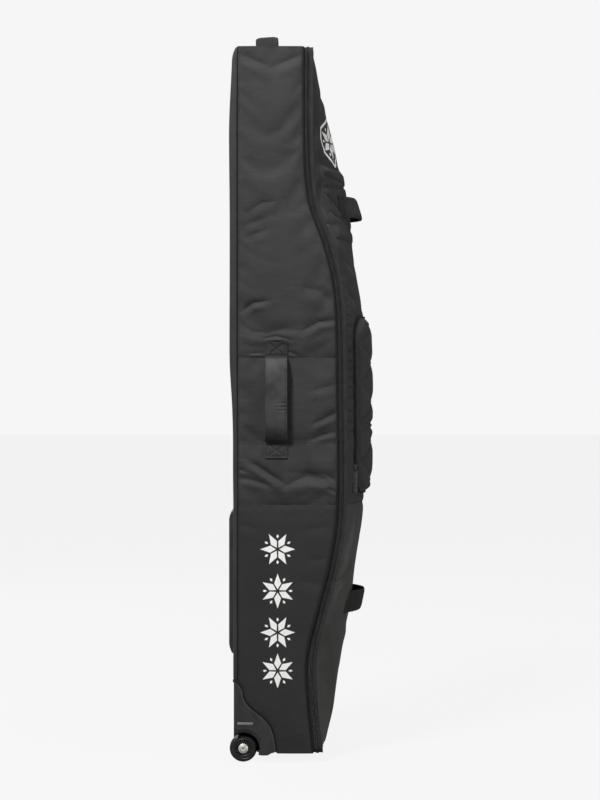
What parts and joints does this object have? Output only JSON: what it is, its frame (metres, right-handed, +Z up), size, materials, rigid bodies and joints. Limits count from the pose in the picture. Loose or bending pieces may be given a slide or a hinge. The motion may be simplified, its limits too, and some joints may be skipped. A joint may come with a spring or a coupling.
{
  "type": "wheeled snowboard bag",
  "caption": "Tall padded snowboard bag with a zipped domed lid, quilted front pocket, webbing handles, skid plate and skate wheels at one end.",
  "frame": {"origin": "on the floor, at the middle of the standing bag's footprint", "axes": "+Z up along the bag from the wheel end, +X out of the lid, +Y towards the hinged side; the skid plate faces -X"},
  "size_m": [0.3418, 0.3944, 1.7349],
  "materials": {
    "woven": "matte",
    "coated": "satin",
    "quilted": "satin",
    "lining": "matte",
    "board": "matte",
    "tape": "matte",
    "coil": "satin",
    "webbing": "matte",
    "grip": "satin",
    "plastic": "satin",
    "tyre": "satin",
    "steel": "satin",
    "slider": "satin"
  },
  "bodies": {
    "bag": {"back_panel": "woven", "top_end_panel": "woven", "left_middle_side_panel": "woven", "right_middle_side_panel": "woven", "left_upper_side_panel": "woven", "right_upper_side_panel": "woven", "lower_back_panel": "coated", "bottom_end_panel": "coated", "left_lower_side_panel": "coated", "right_lower_side_panel": "coated", "left_side_padding": "lining", "right_side_padding": "lining", "back_stiffener_board": "board", "zipper_tape_bag": "tape", "hinge_strip": "tape", "left_front_piping": "tape", "right_front_piping": "tape", "left_back_piping": "tape", "right_back_piping": "tape", "zipper_coil_bag": "coil", "top_grab_handle": "webbing", "left_handle_webbing": "webbing", "right_handle_webbing": "webbing", "left_handle_grip": "grip", "right_handle_grip": "grip", "skid_plate": "plastic", "left_wheel_housing": "plastic", "right_wheel_housing": "plastic", "left_axle_bolt": "steel", "right_axle_bolt": "steel", "skid_rivet_1": "steel", "skid_rivet_2": "steel", "skid_rivet_3": "steel", "skid_rivet_4": "steel"},
    "lid": {"lid_lower_panel": "coated", "lid_middle_panel": "woven", "lid_upper_panel": "woven", "lid_lining": "lining", "zipper_tape_lid": "tape", "zipper_coil_lid": "coil", "upper_loop_patch": "woven", "upper_front_loop": "webbing", "lower_front_loop": "webbing", "pocket_panel": "quilted", "pocket_gusset": "quilted", "pocket_zipper_coil": "coil"},
    "pocket_slider": {"pocket_slider": "slider"},
    "pocket_puller": {"pocket_puller": "slider"},
    "left_main_slider": {"left_main_slider": "slider"},
    "left_main_pull_tab": {"left_main_pull_tab": "slider"},
    "left_wheel": {"left_tyre": "tyre", "left_wheel_hub": "plastic", "left_outer_bearing": "steel", "left_inner_bearing": "steel"},
    "right_main_slider": {"right_main_slider": "slider"},
    "right_main_pull_tab": {"right_main_pull_tab": "slider"},
    "right_wheel": {"right_tyre": "tyre", "right_wheel_hub": "plastic", "right_outer_bearing": "steel", "right_inner_bearing": "steel"}
  },
  "joints": [
    {"name": "lid_hinge", "type": "hinge", "parent": "bag", "child": "lid", "pos_m": [0.107, 0.165, 0.85], "axis": [0, 0, 1], "range_deg": [0, 135]},
    {"name": "left_wheel_spin", "type": "hinge", "parent": "bag", "child": "left_wheel", "pos_m": [-0.136, -0.1495, 0.032], "axis": [0, 1, 0], "continuous": true},
    {"name": "left_main_slider_travel", "type": "slide", "parent": "bag", "child": "left_main_slider", "axis": [0, -1, 0], "range_m": [0, 0.11]},
    {"name": "left_main_pull_tab_swing", "type": "hinge", "parent": "left_main_slider", "child": "left_main_pull_tab", "pos_m": [0.016, -0.0125, 1.6919], "axis": [-1, 0, 0], "range_deg": [0, 150]},
    {"name": "right_wheel_spin", "type": "hinge", "parent": "bag", "child": "right_wheel", "pos_m": [-0.136, 0.1495, 0.032], "axis": [0, 1, 0], "continuous": true},
    {"name": "right_main_slider_travel", "type": "slide", "parent": "bag", "child": "right_main_slider", "axis": [0, 1, 0], "range_m": [0, 0.11]},
    {"name": "right_main_pull_tab_swing", "type": "hinge", "parent": "right_main_slider", "child": "right_main_pull_tab", "pos_m": [0.016, 0.0125, 1.6919], "axis": [1, 0, 0], "range_deg": [0, 150]},
    {"name": "pocket_slider_travel", "type": "slide", "parent": "lid", "child": "pocket_slider", "axis": [0, 0, 1], "range_m": [0, 0.295]},
    {"name": "pocket_puller_swing", "type": "hinge", "parent": "pocket_slider", "child": "pocket_puller", "pos_m": [0.1285, -0.1379, 0.691], "axis": [-1, 0, 0], "range_deg": [0, 150]}
  ]
}
